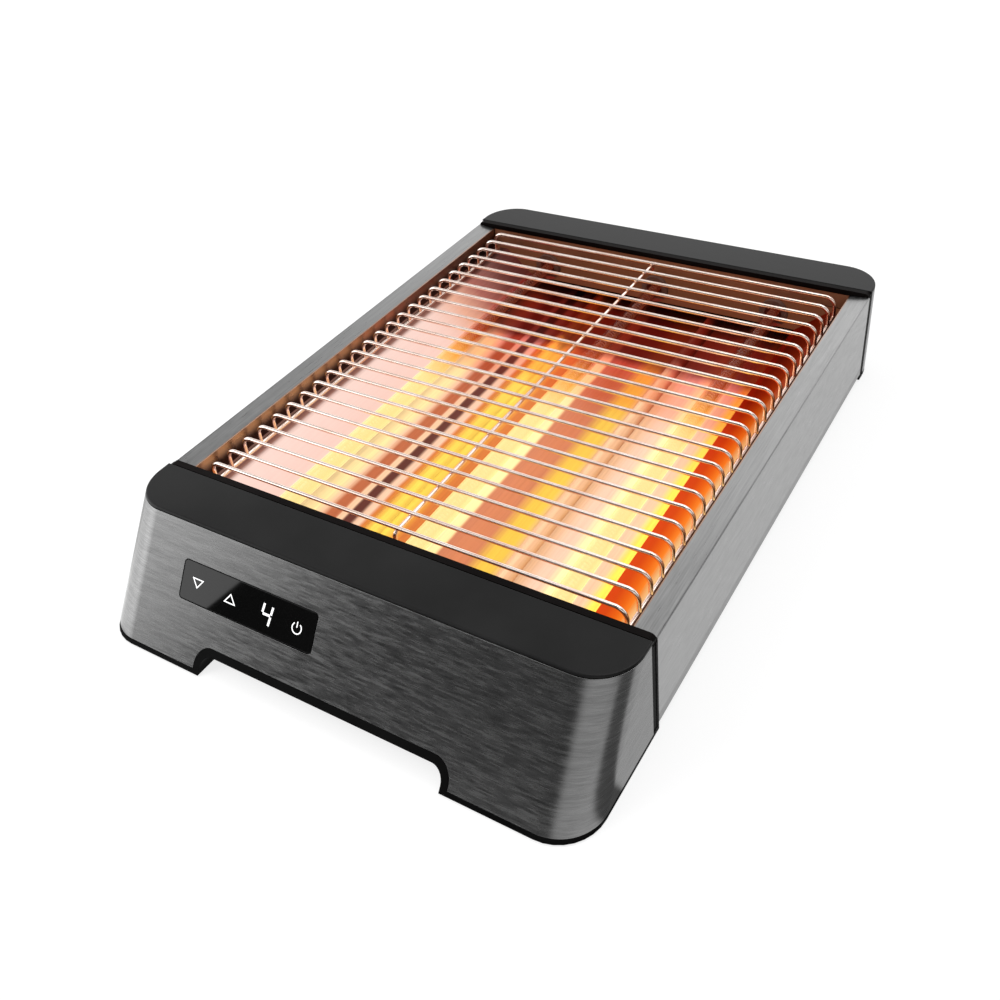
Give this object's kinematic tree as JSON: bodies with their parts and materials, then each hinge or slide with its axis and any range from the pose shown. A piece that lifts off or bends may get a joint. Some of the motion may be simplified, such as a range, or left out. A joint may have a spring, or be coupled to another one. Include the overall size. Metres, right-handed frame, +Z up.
{
  "type": "flat-bed toaster",
  "caption": "Low flat toaster: a wire rack over glowing quartz tubes between two end caps, with a raked control front and a crumb tray that slides out at the rear.",
  "frame": {"origin": "on the table under the middle of the body's outline", "axes": "+Z up, -Y towards the raked front with the controls, +X to the right as seen from the front"},
  "size_m": [0.275, 0.4032, 0.06],
  "materials": {
    "black_plastic": "satin black moulding",
    "brushed_plate": "dark brushed steel, grain level",
    "brushed_side": "brushed steel, grain along the body",
    "bright_sheet": "bright plated sheet",
    "rack_wire": "bright chromed wire",
    "quartz": "clear quartz, glowing orange",
    "heating_wire": "glowing resistance wire",
    "ceramic": "unglazed white ceramic",
    "plated_strip": "plated strip and wire",
    "lens": "gloss black touch panel",
    "inner_plastic": "plain moulding",
    "circuit_board": "green board",
    "components": "moulded cases",
    "fasteners": "zinc plated",
    "rubber": "matt black rubber",
    "sleeve": "braided glass-fibre sleeve"
  },
  "bodies": {
    "body": {"front_cap": "black_plastic", "front_base": "black_plastic", "rear_cap": "black_plastic", "rear_base": "black_plastic", "front_plate": "brushed_plate", "rear_plate": "brushed_plate", "left_side_panel": "brushed_side", "right_side_panel": "brushed_side", "base_pan": "bright_sheet", "left_runner": "bright_sheet", "right_runner": "bright_sheet", "left_reflector": "bright_sheet", "right_reflector": "bright_sheet", "front_bulkhead": "bright_sheet", "rear_bulkhead": "bright_sheet", "wire_rack": "rack_wire", "quartz_tube_left": "quartz", "quartz_tube_centre": "quartz", "quartz_tube_right": "quartz", "heater_coil_left": "heating_wire", "heater_coil_centre": "heating_wire", "heater_coil_right": "heating_wire", "front_holder_left": "ceramic", "front_holder_centre": "ceramic", "front_holder_right": "ceramic", "rear_holder_left": "ceramic", "rear_holder_centre": "ceramic", "rear_holder_right": "ceramic", "front_busbar": "plated_strip", "rear_busbar": "plated_strip", "touch_spring_down": "plated_strip", "touch_spring_up": "plated_strip", "touch_spring_power": "plated_strip", "control_lens": "lens", "control_bracket": "inner_plastic", "display_module": "inner_plastic", "terminal_block": "inner_plastic", "wire_header": "inner_plastic", "control_board": "circuit_board", "power_board": "circuit_board", "relay": "components", "film_capacitor": "components", "transformer": "components", "cap_screws": "fasteners", "pan_screws": "fasteners", "board_screws": "fasteners", "thermal_cutout": "fasteners", "foot_front_left": "rubber", "foot_front_right": "rubber", "foot_rear_left": "rubber", "foot_rear_right": "rubber", "cord_gland": "rubber", "wiring_harness": "sleeve"},
    "tray": {"crumb_tray": "bright_sheet", "tray_handle": "black_plastic", "tray_rivets": "fasteners"}
  },
  "joints": [
    {"name": "tray_slide", "type": "slide", "parent": "body", "child": "tray", "axis": [0, 1, 0], "range_m": [0, 0.28]}
  ]
}
